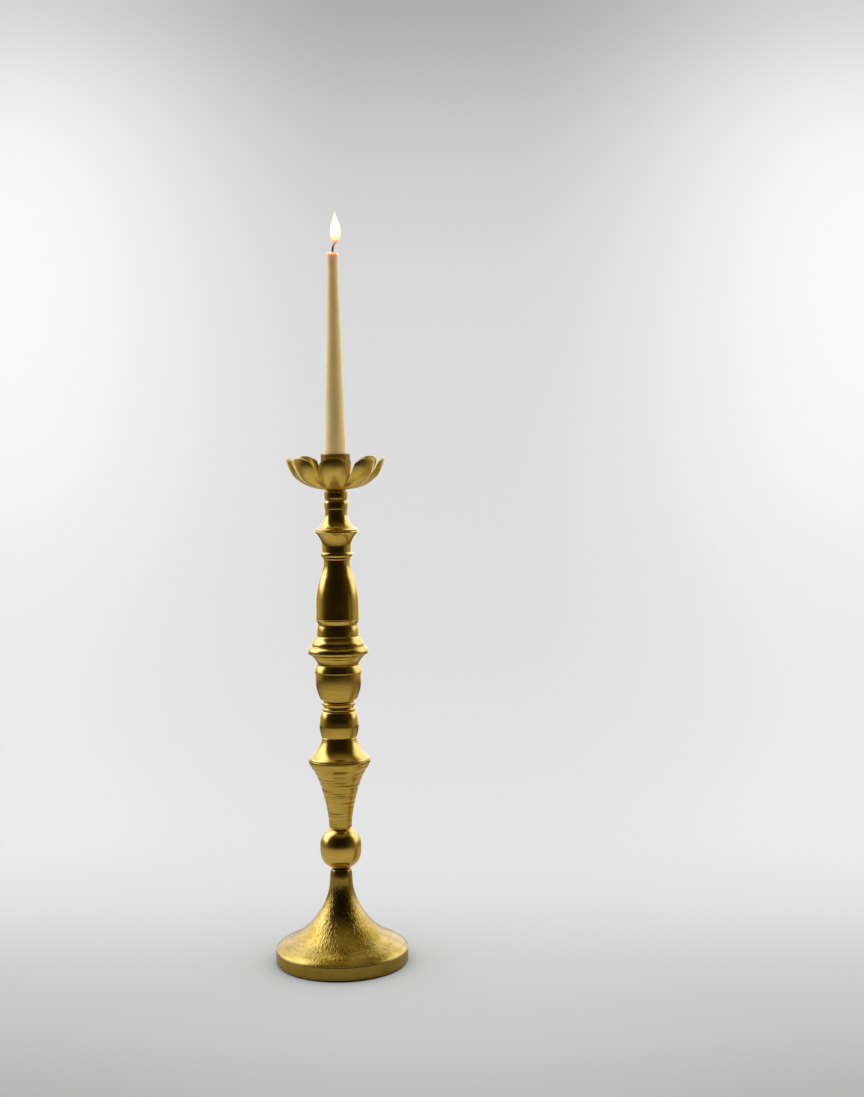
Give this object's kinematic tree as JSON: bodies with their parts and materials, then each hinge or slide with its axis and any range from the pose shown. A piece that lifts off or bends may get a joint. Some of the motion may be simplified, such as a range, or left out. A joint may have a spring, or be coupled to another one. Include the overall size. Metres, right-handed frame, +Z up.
{
  "type": "altar candlestick",
  "caption": "Tall turned brass altar candlestick on a hammered bell foot, with a lotus drip pan, a screw-on candle socket and a tapered candle.",
  "frame": {"origin": "on the candlestick's vertical axis, in the plane it rests on (underside of the felt ring)", "axes": "+Z up along the axis; one petal faces -Y, which is the front; +X to the right"},
  "size_m": [0.1452, 0.1452, 0.7824],
  "materials": {
    "hammered_brass": "hammered satin brass, small slanted facets, darker in the hollows",
    "turned_brass": "satin turned brass with fine horizontal lathe lines",
    "polished_brass": "polished golden brass",
    "petal_brass": "satin sheet brass, brighter at the edges",
    "blackened_metal": "dark oxidised spacer",
    "steel": "plain zinc-grey steel",
    "felt": "dense dark green felt",
    "wax": "ivory candle wax, slightly translucent",
    "wick": "charred braided cotton"
  },
  "bodies": {
    "column": {"felt_ring": "felt", "foot": "hammered_brass", "joint_washer": "blackened_metal", "ball_knop": "polished_brass", "ribbed_cone": "turned_brass", "bell_skirt": "turned_brass", "lower_vase": "turned_brass", "ring_collar": "polished_brass", "beaker_cup": "turned_brass", "cavetto_ring": "turned_brass", "torus_ring": "polished_brass", "ogee_collar": "polished_brass", "drum": "polished_brass", "baluster": "polished_brass", "flange_cup": "polished_brass", "bell_neck": "polished_brass", "neck_collar": "polished_brass", "tie_rod": "steel", "rod_washer": "steel", "rod_nut": "steel", "lock_nut": "steel"},
    "drip_pan": {"pan_floor": "petal_brass", "petal_1": "petal_brass", "petal_2": "petal_brass", "petal_3": "petal_brass", "petal_4": "petal_brass", "petal_5": "petal_brass", "petal_6": "petal_brass", "petal_7": "petal_brass", "petal_8": "petal_brass"},
    "socket": {"candle_socket": "turned_brass"},
    "candle": {"candle": "wax", "wick": "wick"}
  },
  "joints": [
    {"name": "pan_lift", "type": "slide", "parent": "column", "child": "drip_pan", "axis": [0, 0, 1], "range_m": [0, 0.01]},
    {"name": "socket_turn", "type": "hinge", "parent": "drip_pan", "child": "socket", "pos_m": [0, 0, 0.5252], "axis": [0, 0, 1], "range_deg": [0, 2880]},
    {"name": "candle_lift", "type": "slide", "parent": "socket", "child": "candle", "axis": [0, 0, 1], "range_m": [0, 0.03]}
  ],
  "couplings": [
    {"joint": "socket_turn", "follows": "pan_lift", "rad_per_m": 5026.5}
  ]
}
